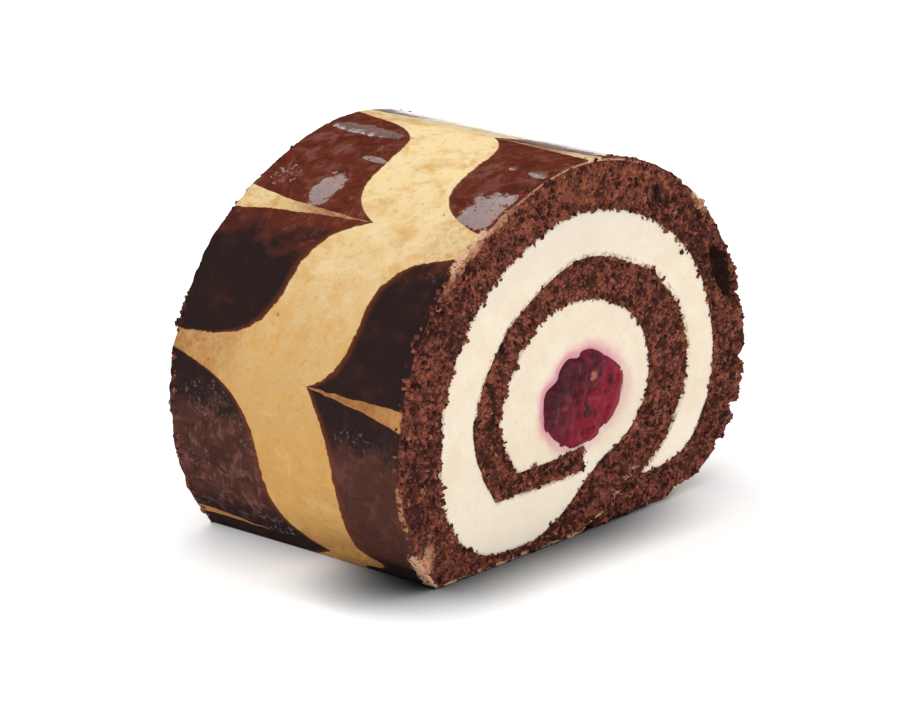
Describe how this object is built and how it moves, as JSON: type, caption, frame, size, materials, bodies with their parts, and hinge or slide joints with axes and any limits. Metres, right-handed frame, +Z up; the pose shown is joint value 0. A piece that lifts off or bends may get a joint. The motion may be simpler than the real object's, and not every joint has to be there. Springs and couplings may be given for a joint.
{
  "type": "swiss roll cake",
  "caption": "Short length of a rolled chocolate sponge cake with a cream filling spiral, a cherry centre and a flat underside to rest on.",
  "frame": {"origin": "middle of the underside of the whole roll", "axes": "+X along the roll towards the cut end shown in the picture, +Y towards the side where the sheet turns under into its lap, +Z up"},
  "size_m": [0.0514, 0.09, 0.0638],
  "materials": {
    "sponge": "dark chocolate sponge crumb, with a glossy combed dark and tan skin outside",
    "cream": "soft whipped cream, slightly fibrous where it is cut",
    "cherries": "wet dark red cherry flesh"
  },
  "bodies": {
    "root": {"sponge": "sponge", "cream": "cream", "cherries": "cherries"}
  },
  "joints": []
}
